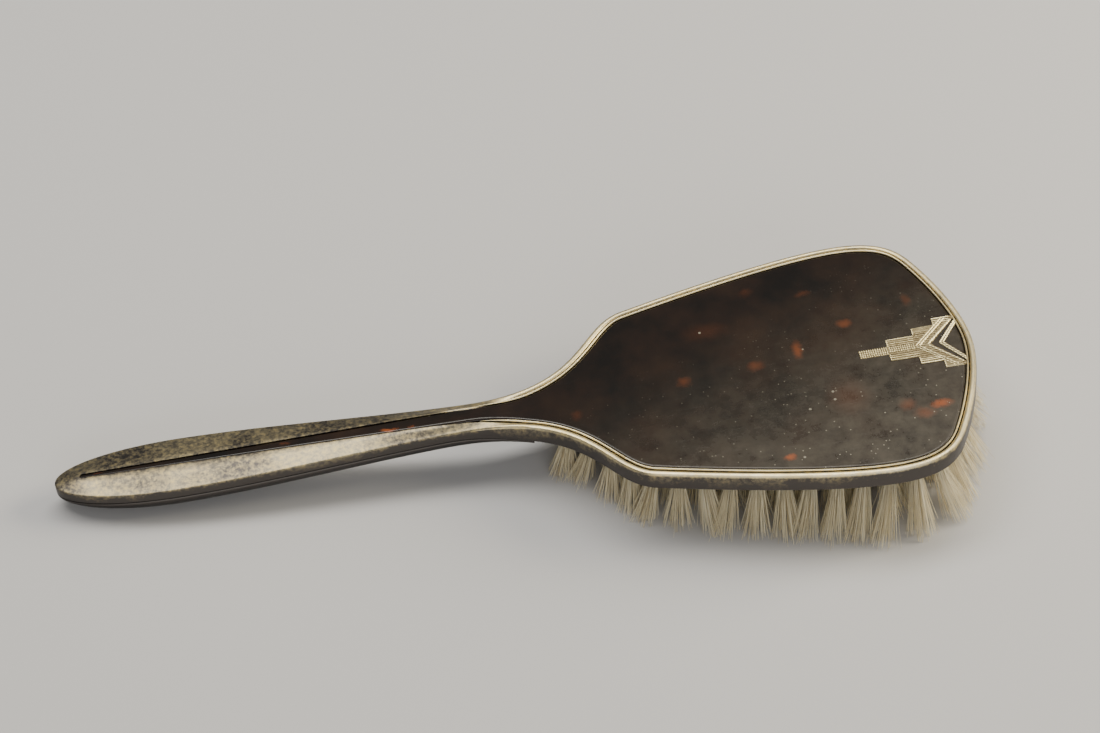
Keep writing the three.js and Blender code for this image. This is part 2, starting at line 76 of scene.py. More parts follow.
toward_camera = Vector((
    math.sin(CAMERA_TURN) * math.cos(CAMERA_ELEVATION),
    -math.cos(CAMERA_TURN) * math.cos(CAMERA_ELEVATION),
    math.sin(CAMERA_ELEVATION),
))
camera = bpy.data.objects.new("camera", bpy.data.cameras.new("camera"))
camera.data.lens = 98.2
camera.data.sensor_width = 36
camera.data.clip_start = 0.01
camera.location = CAMERA_AIM + toward_camera * CAMERA_DISTANCE
camera.rotation_euler = (-toward_camera).to_track_quat("-Z", "Y").to_euler()
bpy.context.collection.objects.link(camera)
bpy.context.scene.camera = camera


# ---------- Floor and studio light ----------
# A plain pale floor under soft light: a broad box overhead and a little behind, a warm one low on the
# right, and a low fill from the camera's side that reaches in under the rim.

floor_mesh = bpy.data.meshes.new("floor")
floor_mesh.from_pydata([(-3, -3, 0), (3, -3, 0), (3, 3, 0), (-3, 3, 0)], [], [(0, 1, 2, 3)])
floor = bpy.data.objects.new("floor", floor_mesh)
bpy.context.collection.objects.link(floor)
floor_paint = bpy.data.materials.new("floor_paint")
floor_paint.use_nodes = True
floor_shader = floor_paint.node_tree.nodes["Principled BSDF"]
floor_shader.inputs["Base Color"].default_value = (0.62, 0.62, 0.63, 1)
floor_shader.inputs["Roughness"].default_value = 0.8
floor_mesh.materials.append(floor_paint)


def softbox(name, place, aim, size, power, color):
    light = bpy.data.lights.new(name, "AREA")
    light.shape = "RECTANGLE"
    light.size, light.size_y = size
    light.energy = power
    light.color = color
    lamp = bpy.data.objects.new(name, light)
    lamp.location = place
    lamp.rotation_euler = (Vector(place) - Vector(aim)).to_track_quat("Z", "Y").to_euler()
    bpy.context.collection.objects.link(lamp)


softbox("overhead_box", (-0.1, 0.4, 1.2), (0, 0, 0), (1.5, 0.4), 14, (1.0, 0.96, 0.88))
softbox("right_box", (1.1, 0.15, 0.55), (0.05, 0, 0), (0.6, 0.6), 15, (1.0, 0.9, 0.7))
softbox("front_fill", (0.1, -1.3, 0.45), (0, 0, 0.01), (1.6, 0.7), 8, (1.0, 0.98, 0.94))

world = bpy.data.worlds.new("studio")
world.use_nodes = True
world.node_tree.nodes["Background"].inputs["Color"].default_value = (0.88, 0.87, 0.85, 1)
world.node_tree.nodes["Background"].inputs["Strength"].default_value = 0.24
bpy.context.scene.world = world


# ---------- Silver back: rim, mouldings and the handle's gabled top ----------
# One sheet of silver is pressed to a broad rounded reed round the head and two flat facets along the
# handle, meeting at a ridge slotted for the tortoiseshell tail. Its side wall is painted dark as a
# painted dark reflection, its edges into the slot as painted shade, and tarnish clouds the rest.

HANDLE_LENGTH = 112 * MM
HEAD_LENGTH = 138 * MM
LENGTH = HANDLE_LENGTH + HEAD_LENGTH
SWELL_AT = 33 * MM
WALL = 0.8 * MM
RIM_HEIGHT = 5.6 * MM
SEAM_DEPTH = 3.05 * MM
REED_WIDTH = 1.95 * MM
NECK_MOULDING = 2.8 * MM
RIDGE_HEIGHT = 1.3 * MM
TAIL_TIP_AT = 7 * MM
SLOT_TIP_RADIUS = 0.7 * MM
NECK_SLOT = 2.4 * MM
FACET_GRIME = 0.57
SILVER = (0.8, 0.71, 0.47, 1)
GILDED_SILVER = (0.896, 0.6887, 0.282, 1)
# Dark tarnished silver. The same colour paints the side walls and belly as a painted dark reflection and the
# slot's edges as painted shade.
TARNISH_AND_PAINTED_DARK = (0.085, 0.077, 0.072, 1)
FLECK_SCALE = 850.0
FLECK_SWING = 2.2      # how much a full fleck thins the tarnish
FLECK_GROUND = 0.9     # how much the tarnish thickens between the flecks
SCRATCH_RUNS = ((0.35, (90.0, 2600.0, 90.0)), (-0.5, (70.0, 3100.0, 70.0)))    # turn and stretch

shell_end = HANDLE_LENGTH + 17.6 * MM

# The +Y half of the plan as Bezier spans: start, two pull points, end, and how many stations.
PLAN_SPANS = [
    ((0, 0), (0, 5.4), (14, 9.5), (33, 9.5), 30),
    ((33, 9.5), (58, 9.5), (92, 5.2), (112, 5.2), 26),
    ((112, 5.2), (145, 5.2), (145, 27.69), (158, 31.2), 34),
    ((158, 31.2), (178, 36.6), (205, 43.2), (220, 43.2), 16),
    ((220, 43.2), (231, 43.2), (236.5, 40.005), (240, 33.6), 22),
    ((240, 33.6), (243.5, 27.195), (250, 12), (250, 0), 18),
]


def plan_stations():
    """(place, outward) pairs on the +Y half of the plan, from the butt to the head's end."""
    stations = []
    for p0, p1, p2, p3, steps in PLAN_SPANS:
        points = [Vector(p) * MM for p in (p0, p1, p2, p3)]
        for i in range(1 if stations else 0, steps + 1):
            t = i / steps
            s = 1 - t
            place = (points[0] * s**3 + points[1] * 3 * s * s * t
                     + points[2] * 3 * s * t * t + points[3] * t**3)
            heading = (points[1] - points[0]) * s * s + (points[2] - points[1]) * 2 * s * t
            heading = (heading + (points[3] - points[2]) * t * t).normalized()
            stations.append((place, Vector((-heading.y, heading.x))))
    stations[0] = (Vector((0, 0)), Vector((-1, 0)))
    stations[-1] = (Vector((LENGTH, 0)), Vector((1, 0)))
    return stations


half_plan = plan_stations()


def smooth_share(value, low, high):
    share = min(max((value - low) / (high - low), 0), 1)
    return share * share * (3 - 2 * share)


def blend_value(a, b, share):
    return a + (b - a) * share


def ridge_at(x):
    rise = smooth_share(x, 0, TAIL_TIP_AT)
    fade = smooth_share(x, HANDLE_LENGTH, HANDLE_LENGTH + 18 * MM)
    return RIDGE_HEIGHT * rise * (1 - fade)


def slot_half_width(x):
    share = (x - TAIL_TIP_AT) / (HANDLE_LENGTH - TAIL_TIP_AT)
    return blend_value(SLOT_TIP_RADIUS, NECK_SLOT, min(max(share, 0), 1))


def opening_edge(place, outward, shrink=0, head_inset=REED_WIDTH):
    """Where the silver stops and the opening for the tortoiseshell begins, opposite a station."""
    tip_middle = TAIL_TIP_AT + SLOT_TIP_RADIUS
    if place.x < tip_middle:
        turn = math.pi / 2 * (2 - place.x / tip_middle)
        radius = SLOT_TIP_RADIUS - shrink
        return Vector((tip_middle + radius * math.cos(turn), radius * math.sin(turn)))
    if place.x <= HANDLE_LENGTH:
        return Vector((place.x, slot_half_width(place.x) - shrink))
    widening = smooth_share(place.x, HANDLE_LENGTH, HANDLE_LENGTH + 10 * MM)
    return place - outward * (blend_value(NECK_MOULDING, head_inset, widening) + shrink)


def seam_at(x):
    """How far the side wall reaches down: to the handle's side seam, and deeper round the head."""
    return blend_value(SEAM_DEPTH, RIM_HEIGHT, smooth_share(x, HANDLE_LENGTH - 6 * MM, shell_end))


# The top of the section: (inward, height) in millimetres on the handle's flat facet and on the head's
# rounded reed, and how dark it is painted there: the wall's painted dark reflection fading over the
# shoulder, and painted shade where it turns down to the slot.
OUTER_CURVE = (
    ((0, -0.34), (0, -1.05), 0.8),
    ((0.07, -0.12), (0.1, -0.55), 0.35),
    ((0.24, -0.01), (0.42, -0.16), 0.06),
    ((0.5, 0.05), (0.92, 0), 0.0),
)
# Farther in the facet runs straight up to its ridge, so only the share of its width is given.
INNER_CURVE = ((0.35, (1.28, -0.06), 0), (0.68, (1.6, -0.22), 0.1), (0.93, (1.83, -0.48), 0.4))


def rim_section(place, outward):
    """Closed section of the silver back: (x, y, z, painted dark and tarnish) from the wall's foot over the
    top and back.
    """
    edge = opening_edge(place, outward)
    width = (edge - place).length
    inward = (edge - place) / width
    head = smooth_share(place.x, HANDLE_LENGTH - 14 * MM, HANDLE_LENGTH + 26 * MM)
    ridge = ridge_at(edge.x)
    wall_foot = seam_at(place.x)
    grime = FACET_GRIME * (1 - head)
    # The side wall is painted fully dark down to its foot: a painted dark reflection.
    section = [(0, -wall_foot + 0.35 * MM, 1.0), (0, -wall_foot * 0.62, 0.95)]
    for facet, reed, dark in OUTER_CURVE:
        distance, height = blend_value(facet[0], reed[0], head), blend_value(facet[1], reed[1], head)
        section.append((distance * MM, height * MM, max(dark, grime)))
    flat_start, flat_z = section[-1][:2]
    for share, reed, dark in INNER_CURVE:
        facet_z = blend_value(flat_z, ridge, (share * width - flat_start) / (width - flat_start))
        distance = blend_value(share * width, reed[0] * MM, head)
        section.append((distance, blend_value(facet_z, reed[1] * MM, head), max(dark * head, grime)))
    # Where the silver turns down into the slot it is painted dark: painted shade in the gap beside the
    # tortoiseshell.
    section.append((width, blend_value(ridge - 0.12 * MM, -0.85 * MM, head), 0.7))
    section.append((width, blend_value(ridge - 1.2 * MM, -1.7 * MM, head), 1.0))
    points = [(*(place + inward * d), z, dark) for d, z, dark in section]
    inner = place - outward * WALL
    points.append((*inner, blend_value(-1.2, -1.7, head) * MM, 1.0))
    points.append((*inner, -wall_foot, 1.0))
    foot = place - outward * 0.3 * MM
    points.append((*foot, -wall_foot, 1.0))
    return points


def mirrored_loop(sections):
    """The +Y stations' sections, then the same ones on the -Y side back to the start."""
    other = [[(x, -y, *rest) for x, y, *rest in section] for section in sections[-2:0:-1]]
    return sections + other


def new_piece(name, build, sharp_angle=math.radians(32)):
    """An object whose mesh is drawn in the brush's frame by build(bm) and then laid down."""
    bm = bmesh.new()
    build(bm)
    bmesh.ops.remove_doubles(bm, verts=bm.verts, dist=1e-6)
    bmesh.ops.dissolve_degenerate(bm, edges=bm.edges, dist=1e-7)
    bmesh.ops.recalc_face_normals(bm, faces=bm.faces)
    mesh = bpy.data.meshes.new(name)
    bm.to_mesh(mesh)
    bm.free()
    mesh.transform(lay_down)
    mesh.polygons.foreach_set("use_smooth", [True] * len(mesh.polygons))
    mesh.set_sharp_from_angle(angle=sharp_angle)
    piece = bpy.data.objects.new(name, mesh)
    bpy.context.collection.objects.link(piece)
    return piece


def skin(bm, sections, closed_around, closed_section=True):
    """Quads between sections of (x, y, z, painted dark and tarnish); the ends are left open where the skin
    doesn't close.
    """
    dark_layer = bm.verts.layers.float.get("painted_dark_and_tarnish") or bm.verts.layers.float.new("painted_dark_and_tarnish")
    rings = []
    for section in sections:
        ring = []
        for x, y, z, dark in section:
            vert = bm.verts.new((x, y, z))
            vert[dark_layer] = dark
            ring.append(vert)
        rings.append(ring)
    count = len(rings[0])
    last = len(rings) if closed_around else len(rings) - 1
    for i in range(last):
        here, there = rings[i], rings[(i + 1) % len(rings)]
        for j in range(count if closed_section else count - 1):
            k = (j + 1) % count
            bm.faces.new((here[j], here[k], there[k], there[j]))
    return rings


silver_back = new_piece(
    "silver_back",
    lambda bm: skin(bm, mirrored_loop([rim_section(*s) for s in half_plan]), closed_around=True),
)


def shader_material(name):
    material = bpy.data.materials.new(name)
    material.use_nodes = True
    return material, material.node_tree, material.node_tree.nodes["Principled BSDF"]


def fill(tree, socket, value):
    """A socket takes a link or a constant; None leaves it as it is."""
    if isinstance(value, bpy.types.NodeSocket):
        tree.links.new(value, socket)
    elif value is not None:
        socket.default_value = value


def fill_named(tree, node, values):
    """Inputs by name, with "_" standing for a space."""
    for key, value in values.items():
        fill(tree, node.inputs[key.replace("_", " ")], value)


def add_node(tree, kind, settings, *in_order, **by_name):
    node = tree.nodes.new(kind)
    for key, value in settings.items():
        setattr(node, key, value)
    for socket, value in zip(node.inputs, in_order):
        fill(tree, socket, value)
    fill_named(tree, node, by_name)
    return node


def new_group(name, inputs, outputs, kind="ShaderNodeTree"):
    """A node group with named sockets: the tree, what its input node gives, and its output node."""
    tree = bpy.data.node_groups.new(name, kind)
    for label, socket_kind, value in inputs:
        socket = tree.interface.new_socket(
            name=label, in_out="INPUT", socket_type="NodeSocket" + socket_kind)
        if value is not None:
            socket.default_value = value
    for label, socket_kind in outputs:
        tree.interface.new_socket(name=label, in_out="OUTPUT", socket_type="NodeSocket" + socket_kind)
    return tree, tree.nodes.new("NodeGroupInput").outputs, tree.nodes.new("NodeGroupOutput")


def place_group(tree, group, **values):
    return add_node(tree, "ShaderNodeGroup", {"node_tree": group}, **values)


def calculate(tree, operation, *values, clamp=False):
    return add_node(tree, "ShaderNodeMath", {"operation": operation, "use_clamp": clamp}, *values).outputs[0]


def calculate_vector(tree, operation, *values, scale=None):
    node = add_node(tree, "ShaderNodeVectorMath", {"operation": operation}, *values)
    if scale is not None:
        fill(tree, node.inputs["Scale"], scale)
    return node.outputs["Value" if operation == "LENGTH" else "Vector"]


def remap(tree, value, low, high, to_low=0.0, to_high=1.0, interpolation="LINEAR"):
    settings = {"interpolation_type": interpolation}
    return add_node(tree, "ShaderNodeMapRange", settings, value, low, high, to_low, to_high).outputs["Result"]


def mix_colors(tree, share, first, second, blend="MIX"):
    node = add_node(tree, "ShaderNodeMix", {"data_type": "RGBA", "blend_type": blend}, share)
    fill(tree, node.inputs[6], first)
    fill(tree, node.inputs[7], second)
    return node.outputs[2]


def add_noise(tree, place, scale, detail, roughness=0.5):
    return add_node(tree, "ShaderNodeTexNoise", {}, Vector=place, Scale=scale, Detail=detail,
                    Roughness=roughness)


def stretched(tree, place, scale, turn=0.0):
    """The place turned about z and stretched, for a pattern that runs in one direction."""
    return add_node(tree, "ShaderNodeMapping", {}, Vector=place, Rotation=(0.0, 0.0, turn),
                    Scale=scale).outputs["Vector"]


def object_place(tree):
    return add_node(tree, "ShaderNodeTexCoord", {}).outputs["Object"]


def read_surface(tree, name):
    return add_node(tree, "ShaderNodeAttribute", {"attribute_name": name}).outputs["Fac"]


def raise_surface(tree, shader, height, strength, distance):
    bump = add_node(tree, "ShaderNodeBump", {}, Strength=strength, Distance=distance, Height=height)
    fill(tree, shader.inputs["Normal"], bump.outputs["Normal"])


def painted_dark_and_tarnish_group():
    """Painted dark and cloudy tarnish: a mask that gathers where the painted_dark_and_tarnish attribute
    says and drifts over the rest. The attribute holds a painted dark reflection on the side walls and
    belly, painted shade at the slot's edges, and tarnish and grime elsewhere.

    Flecks of cleaner metal show through where the mask is half thick.
    """
    tree, given, result = new_group(
        "painted_dark_and_cloudy_tarnish",
        [("Position", "Vector", None), ("Gathered", "Float", 0.0), ("Cloud Scale", "Float", 90.0),
         ("Spread", "Float", 0.3), ("Flecks", "Float", 0.0)],
        [("Mask", "Float"), ("Speckle", "Float")],
    )
    cloud = add_noise(tree, given["Position"], given["Cloud Scale"], 6.0, 0.62)
    fine = add_noise(tree, given["Position"], FLECK_SCALE, 4.0, 0.7)
    speckle = remap(tree, fine.outputs["Fac"], 0.4, 0.75)
    drift = calculate(tree, "MULTIPLY", remap(tree, cloud.outputs["Fac"], 0.42, 0.68), given["Spread"])
    drifted = calculate(tree, "ADD", drift, given["Gathered"])
    clean = calculate(tree, "SUBTRACT", 1.0, given["Gathered"])
    half_thick = calculate(tree, "MULTIPLY", clean, given["Gathered"])
    swing = calculate(tree, "MULTIPLY_ADD", speckle, -FLECK_SWING, FLECK_GROUND)
    flecked = calculate(tree, "MULTIPLY", swing, half_thick)
    mask = calculate(tree, "MULTIPLY_ADD", flecked, given["Flecks"], drifted, clamp=True)
    fill(tree, result.inputs["Mask"], mask)
    fill(tree, result.inputs["Speckle"], speckle)
    return tree


def scratches_group():
    """Fine handling scratches: thin stretched lines in two directions, as a height."""
    tree, given, result = new_group(
        "fine_scratches", [("Position", "Vector", None), ("Density", "Float", 0.5)], [("Height", "Float")])
    cuts = []
    for turn, scale in SCRATCH_RUNS:
        lines = add_noise(tree, stretched(tree, given["Position"], scale, turn), 1.0, 2.0)
        cuts.append(remap(tree, lines.outputs["Fac"], 0.62, 0.75))
    both = calculate(tree, "ADD", *cuts, clamp=True)
    fill(tree, result.inputs["Height"], calculate(tree, "MULTIPLY", both, given["Density"]))
    return tree


painted_dark_and_cloudy_tarnish = painted_dark_and_tarnish_group()
fine_scratches = scratches_group()


def silver_material():
    material, tree, shader = shader_material("worn_and_painted_dark_silver")
    place = object_place(tree)
    painted_dark_and_tarnish = place_group(tree, painted_dark_and_cloudy_tarnish, Position=place, Gathered=read_surface(tree, "painted_dark_and_tarnish"),
                          Cloud_Scale=70.0, Spread=0.3, Flecks=1.0).outputs
    scratches = place_group(tree, fine_scratches, Position=place, Density=0.8)
    clean = mix_colors(tree, painted_dark_and_tarnish["Speckle"], SILVER, GILDED_SILVER)
    # The mask mixes in the dark colour: a painted dark reflection on the walls and belly, painted shade at
    # the slot's edges, and tarnish and grime over the rest.
    fill_named(tree, shader, {
        "Base Color": mix_colors(tree, painted_dark_and_tarnish["Mask"], clean, TARNISH_AND_PAINTED_DARK),
        "Metallic": 1,
        "Roughness": remap(tree, painted_dark_and_tarnish["Speckle"], 0.0, 1.0, 0.36, 0.48),
    })
    raise_surface(tree, shader, scratches.outputs["Height"], 0.1, 0.02 * MM)
    return material


worn_and_painted_dark_silver = silver_material()
silver_back.data.materials.append(worn_and_painted_dark_silver)
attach(silver_back, "root")
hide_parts("silver_back_frame")


# ---------- Silver underside of the handle ----------
# The handle's belly is a second pressing, rounded like a boat and soldered to the back along the side
# seam. It ends in a closed wall where the wooden stock of the head begins.

BELLY_DEPTH = 6.9 * MM
NECK_BELLY_DEPTH = 4.7 * MM
BELLY_SEGMENTS = 28
SEAM_LINE = 0.05 * MM
block_foot = min((pick_up @ Vector(v.co)).z for v in frame["nodes"]["bristle_block"].data.vertices)


def belly_at(x):
    """Depth of the belly below the seam."""
    if x < SWELL_AT:
        low, high = 0.0, 1.0
        for _ in range(30):
            t = (low + high) / 2
            if 3 * (1 - t) * t * t * SWELL_AT / 2 + t**3 * SWELL_AT < x:
                low = t
            else:
                high = t
        return BELLY_DEPTH * (1.5 * (1 - t) ** 2 * t + 3 * (1 - t) * t * t + t**3)
    if x < HANDLE_LENGTH:
        return blend_value(BELLY_DEPTH, NECK_BELLY_DEPTH, smooth_share(x, SWELL_AT, HANDLE_LENGTH))
    return NECK_BELLY_DEPTH


def belly_section(place):
    section = []
    seam = seam_at(place.x)
    depth = belly_at(place.x) + SEAM_DEPTH - seam
    for i in range(BELLY_SEGMENTS + 1):
        angle = math.pi * (i / BELLY_SEGMENTS - 0.5)
        side = -place.y * math.sin(angle)
        # Every point is painted fully dark: a painted dark reflection on the belly.
        section.append((place.x, side, -seam - SEAM_LINE - depth * math.cos(angle), 1.0))
    return section


def draw_belly(bm):
    stations = [place for place, _ in half_plan if place.x <= shell_end]
    rings = skin(bm, [belly_section(place) for place in stations], closed_around=False, closed_section=False)
    middle = bm.verts.new((stations[-1].x, 0, -seam_at(stations[-1].x) - SEAM_LINE))
    for a, b in zip(rings[-1], rings[-1][1:]):
        bm.faces.new((a, b, middle))


handle_shell = new_piece("handle_shell", draw_belly)
thickness = handle_shell.modifiers.new("sheet_thickness", "SOLIDIFY")
thickness.thickness = WALL
thickness.offset = -1
handle_shell.data.materials.append(worn_and_painted_dark_silver)
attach(handle_shell, "root")
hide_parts("silver_handle_shell")


# ---------- Fine inner moulding ----------
# A thin half-round silver wire lies between the reed and the tortoiseshell and holds the panel down.
# It starts on both sides of the neck and runs right round the head.

BEAD_INSET = 2.42 * MM
BEAD_RADIUS = 0.32 * MM
BEAD_START = HANDLE_LENGTH + 1 * MM


def bead_sections():
    sections = []
    for place, outward in half_plan:
        if place.x < BEAD_START:
            continue
        swelling = 0.06 + 0.94 * smooth_share(place.x, BEAD_START, BEAD_START + 12 * MM)
        centre = place - outward * BEAD_INSET
        ring = []
        for i in range(12):
            angle = i / 12 * 2 * math.pi
            across = outward * (BEAD_RADIUS * swelling * math.cos(angle))
            up = BEAD_RADIUS * 1.25 * swelling * math.sin(angle) - 0.42 * MM + ridge_at(centre.x)
            # The wire's dark value grows from none on top to half underneath: painted shade below the wire.
            ring.append((centre.x + across.x, centre.y + across.y, up, 0.25 - 0.25 * math.sin(angle)))
        sections.append(ring)
    return sections


def draw_bead(bm):
    half = bead_sections()
    other = [[(x, -y, z, dark) for x, y, z, dark in ring] for ring in half[-2::-1]]
    rings = skin(bm, half + other, closed_around=False)
    bm.faces.new(rings[0])
    bm.faces.new(rings[-1])


inner_bead = new_piece("inner_bead", draw_bead)
inner_bead.data.materials.append(worn_and_painted_dark_silver)
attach(inner_bead, "root")
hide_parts("panel_retaining_bead")


# ---------- Tortoiseshell panel ----------
# One plate of dark tortoiseshell, cut to the head and drawn out into a tail that lies in the handle's
# slot. Its edge is bevelled and its face polished, with amber patches, scuffs and dust, and a painted
# sheen that lightens it toward the near corner of the head's end.

PANEL_THICKNESS = 1.5 * MM
PANEL_EDGE = 2.86 * MM
TAIL_CLEARANCE = 0.12 * MM
BEVEL = 0.62 * MM
ACROSS = (0.78, 0.5, 0.22)      # where the face is divided, from its edge to its middle
PATCH_RAGGEDNESS = 3.6 * MM
DARK_SHELL = (0.0045, 0.003, 0.0022, 1)
BROWN_SHELL = (0.026, 0.013, 0.007, 1)
# Lighter shell for the scuffs, also laid on as a painted sheen toward the near corner of the head's end.
SCUFF_AND_SHEEN_SHELL = (0.074, 0.06, 0.037, 1)
AMBER = (0.31, 0.08, 0.02, 1)
PALE_DUST = (0.36, 0.34, 0.27, 1)


def panel_section(place, outward):
    edge = opening_edge(place, outward, shrink=TAIL_CLEARANCE, head_inset=PANEL_EDGE - TAIL_CLEARANCE)
    inward = -outward if place.x > HANDLE_LENGTH else Vector((0, -1))
    bevel = min(BEVEL, 0.4 * abs(edge.y)) if place.x < LENGTH - 25 * MM else BEVEL
    top = ridge_at(edge.x) - PANEL_RECESS
    start = edge + inward * bevel * 0.3
    inner = edge + inward * bevel
    side = [(edge, top - PANEL_THICKNESS), (edge, top - 0.34 * MM), (start, top - 0.12 * MM), (inner, top)]
    points = [(p.x, max(p.y, 0), z, 0.0) for p, z in side]
    flat = inner + inward * min(0.2 * MM, 0.2 * abs(inner.y))
    points.append((flat.x, max(flat.y, 0), top, 0.0))
    points += [(flat.x, max(flat.y, 0) * share, top, 0.0) for share in ACROSS]
    return points


def draw_panel(bm):
    sections = []
    for place, outward in half_plan:
        side = panel_section(place, outward)
        sections.append(side + [(x, -y, z, dark) for x, y, z, dark in reversed(side)])
    skin(bm, sections, closed_around=False)


shell_panel = new_piece("shell_panel", draw_panel, sharp_angle=math.radians(50))

# Amber patches: place along the brush, place across it, length, width and brightness, in millimetres.
AMBER_PATCHES = [
    (90.2, -0.9, 4.4, 1.3, 1.0), (96.4, -0.9, 2.1, 0.9, 0.33), (62.4, 0.2, 2.6, 0.9, 0.19),
    (11.7, 0.1, 2.6, 0.6, 0.23), (140.9, -5.6, 2.9, 3.6, 0.11), (171.0, 0.5, 3.9, 3.4, 0.23),
    (190.8, 2.3, 4.2, 3.4, 0.23), (193.2, 30.6, 3.9, 2.9, 0.09), (208.5, 26.7, 4.2, 2.1, 0.13),
    (203.0, 5.7, 2.9, 6.0, 0.44), (217.2, 13.1, 4.2, 2.9, 0.33), (235.5, 18.1, 2.9, 4.7, 0.15),
    (227.8, -20.5, 4.4, 4.4, 0.23), (236.6, -22.0, 5.7, 2.3, 0.84), (231.5, -24.3, 5.5, 3.6, 0.28),
    (193.6, -32.5, 2.9, 2.5, 0.92), (180.0, 18.0, 11.7, 6.5, 0.07), (213.0, -14.0, 10.4, 11.7, 0.08),
]


def patch_group():
    """One soft-edged amber patch with a ragged outline."""
    tree, given, result = new_group(
        "amber_patch",
        [("Position", "Vector", None), ("Ragged", "Vector", None), ("Centre", "Vector", None),
         ("Size", "Vector", None), ("Brightness", "Float", 1.0)],
        [("Mask", "Float")],
    )
    moved = calculate_vector(tree, "ADD", given["Position"], given["Ragged"])
    centred = calculate_vector(tree, "SUBTRACT", moved, given["Centre"])
    distance = calculate_vector(tree, "LENGTH", calculate_vector(tree, "DIVIDE", centred, given["Size"]))
    mask = remap(tree, distance, 1.5, 0.1, interpolation="SMOOTHSTEP")
    fill(tree, result.inputs["Mask"], calculate(tree, "MULTIPLY", mask, given["Brightness"]))
    return tree


def dust_group():
    """Specks of dust: small pale cells, thinned out so that only a few show."""
    tree, given, result = new_group(
        "dust_specks",
        [("Position", "Vector", None), ("Scale", "Float", 420.0), ("Share", "Float", 0.03),
         ("Size", "Float", 0.16)],
        [("Mask", "Float")],
    )
    cells = add_node(tree, "ShaderNodeTexVoronoi", {}, Vector=given["Position"], Scale=given["Scale"],
                     Randomness=1.0)
    lot = add_node(tree, "ShaderNodeSeparateColor", {}, cells.outputs["Color"]).outputs[0]
    few = calculate(tree, "LESS_THAN", lot, given["Share"])
    small = calculate(tree, "LESS_THAN", cells.outputs["Distance"], given["Size"])
    fill(tree, result.inputs["Mask"], calculate(tree, "MULTIPLY", few, small))
    return tree


amber_patch = patch_group()
dust_specks = dust_group()


def tortoiseshell_material():
    material, tree, shader = shader_material("dark_tortoiseshell")
    place = object_place(tree)

    ripple = add_noise(tree, place, 260.0, 5.0, 0.7).outputs["Color"]
    ripple = calculate_vector(tree, "SUBTRACT", ripple, (0.5, 0.5, 0.5))
    ragged = calculate_vector(tree, "SCALE", ripple, scale=PATCH_RAGGEDNESS)
    amber = None
    for along, across, length, width, brightness in AMBER_PATCHES:
        patch = place_group(
            tree, amber_patch, Position=place, Ragged=ragged, Brightness=brightness,
            Centre=lay_down @ Vector((along * MM, across * MM, 0)),
            Size=(length * MM / 2, width * MM / 2, 1.0),
        ).outputs["Mask"]
        amber = patch if amber is None else calculate(tree, "MAXIMUM", amber, patch)

    depth = remap(tree, add_noise(tree, place, 55.0, 5.0, 0.6).outputs["Fac"], 0.35, 0.72)
    color = mix_colors(tree, depth, DARK_SHELL, BROWN_SHELL)

    # The scuffs thicken toward the near corner of the head's end, and the same mask paints the shell lighter
    # there: a painted sheen.
    axes = add_node(tree, "ShaderNodeSeparateXYZ", {}, place).outputs
    nearer = calculate(tree, "MULTIPLY", axes["Y"], -1.0)
    toward_corner = calculate(tree, "MULTIPLY_ADD", axes["X"], 0.5, nearer)
    sheen_and_wear_corner = remap(tree, toward_corner, 0.0, 0.088, interpolation="SMOOTHSTEP")
    haze = add_noise(tree, place, 150.0, 7.0, 0.7).outputs["Fac"]
    scuffs_and_sheen = calculate(tree, "MULTIPLY", sheen_and_wear_corner, remap(tree, haze, 0.2, 0.72))
    color = mix_colors(tree, scuffs_and_sheen, color, SCUFF_AND_SHEEN_SHELL)
    color = mix_colors(tree, amber, color, AMBER)

    dust = place_group(tree, dust_specks, Position=place, Share=0.035).outputs["Mask"]
    grit = place_group(tree, dust_specks, Position=place, Scale=1100.0, Share=0.07, Size=0.22).outputs["Mask"]
    specks = calculate(tree, "MAXIMUM", dust, calculate(tree, "MULTIPLY", grit, sheen_and_wear_corner))
    color = mix_colors(tree, calculate(tree, "MULTIPLY", specks, 0.7), color, PALE_DUST)

    fill_named(tree, shader, {"Base Color": color, "Roughness": remap(tree, scuffs_and_sheen, 0.0, 1.0, 0.2, 0.42)})
    scratches = place_group(tree, fine_scratches, Position=place, Density=0.6)
    raise_surface(tree, shader, calculate(tree, "ADD", scratches.outputs["Height"], haze), 0.16, 0.05 * MM)
    return material


shell_panel.data.materials.append(tortoiseshell_material())
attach(shell_panel, "root")
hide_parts("tortoiseshell_panel")


# ---------- Silver inlay ----------
# Thin pale silver plates let into the panel's face near the head's end: a ribbed stem, a fan of three
# steps with an engraved field, and a chevron in the fan's notch.

INLAY_TIP = LENGTH - 3.2 * MM
INLAY_PROUD = 0.1 * MM
STEPS = [(7.6, 4.05), (6.2, 6.85), (6.2, 9.5)]
FAN_LENGTH = sum(length for length, _ in STEPS) * MM
STEM_LENGTH = 7.9 * MM
STEM_HALF = 1.5 * MM
RIB_PITCH = 0.62 * MM
NOTCH_DEPTH = 8.3 * MM
FAN_TIP = 8.7 * MM
CHEVRON_DEPTH = 6.1 * MM
CHEVRON_TIP = 8.0 * MM
CHEVRON_WIDTH = 1.5 * MM
INLAY_SUNK = 0.4 * MM
LINE_HEIGHT = INLAY_PROUD + 0.11 * MM
RIB_SINK = 0.06 * MM
RIB_SIDES = 10


def draw_plate(bm, corners, low, high, bevel=0.06 * MM, dark=0.0):
    """A thin bevelled plate from (x, y) corners, with low and high as heights over the panel's face."""
    bottom, top = skin(
        bm, [[(x, y, z - PANEL_RECESS, dark) for x, y in corners] for z in (low, high)], closed_around=False)
    bm.faces.new(bottom)
    cap = bm.faces.new(top)
    bmesh.ops.bevel(bm, geom=list(cap.edges), offset=bevel, segments=1, affect="EDGES")


def both_sides(side):
    return side + [(x, -y) for x, y in reversed(side) if y != 0]


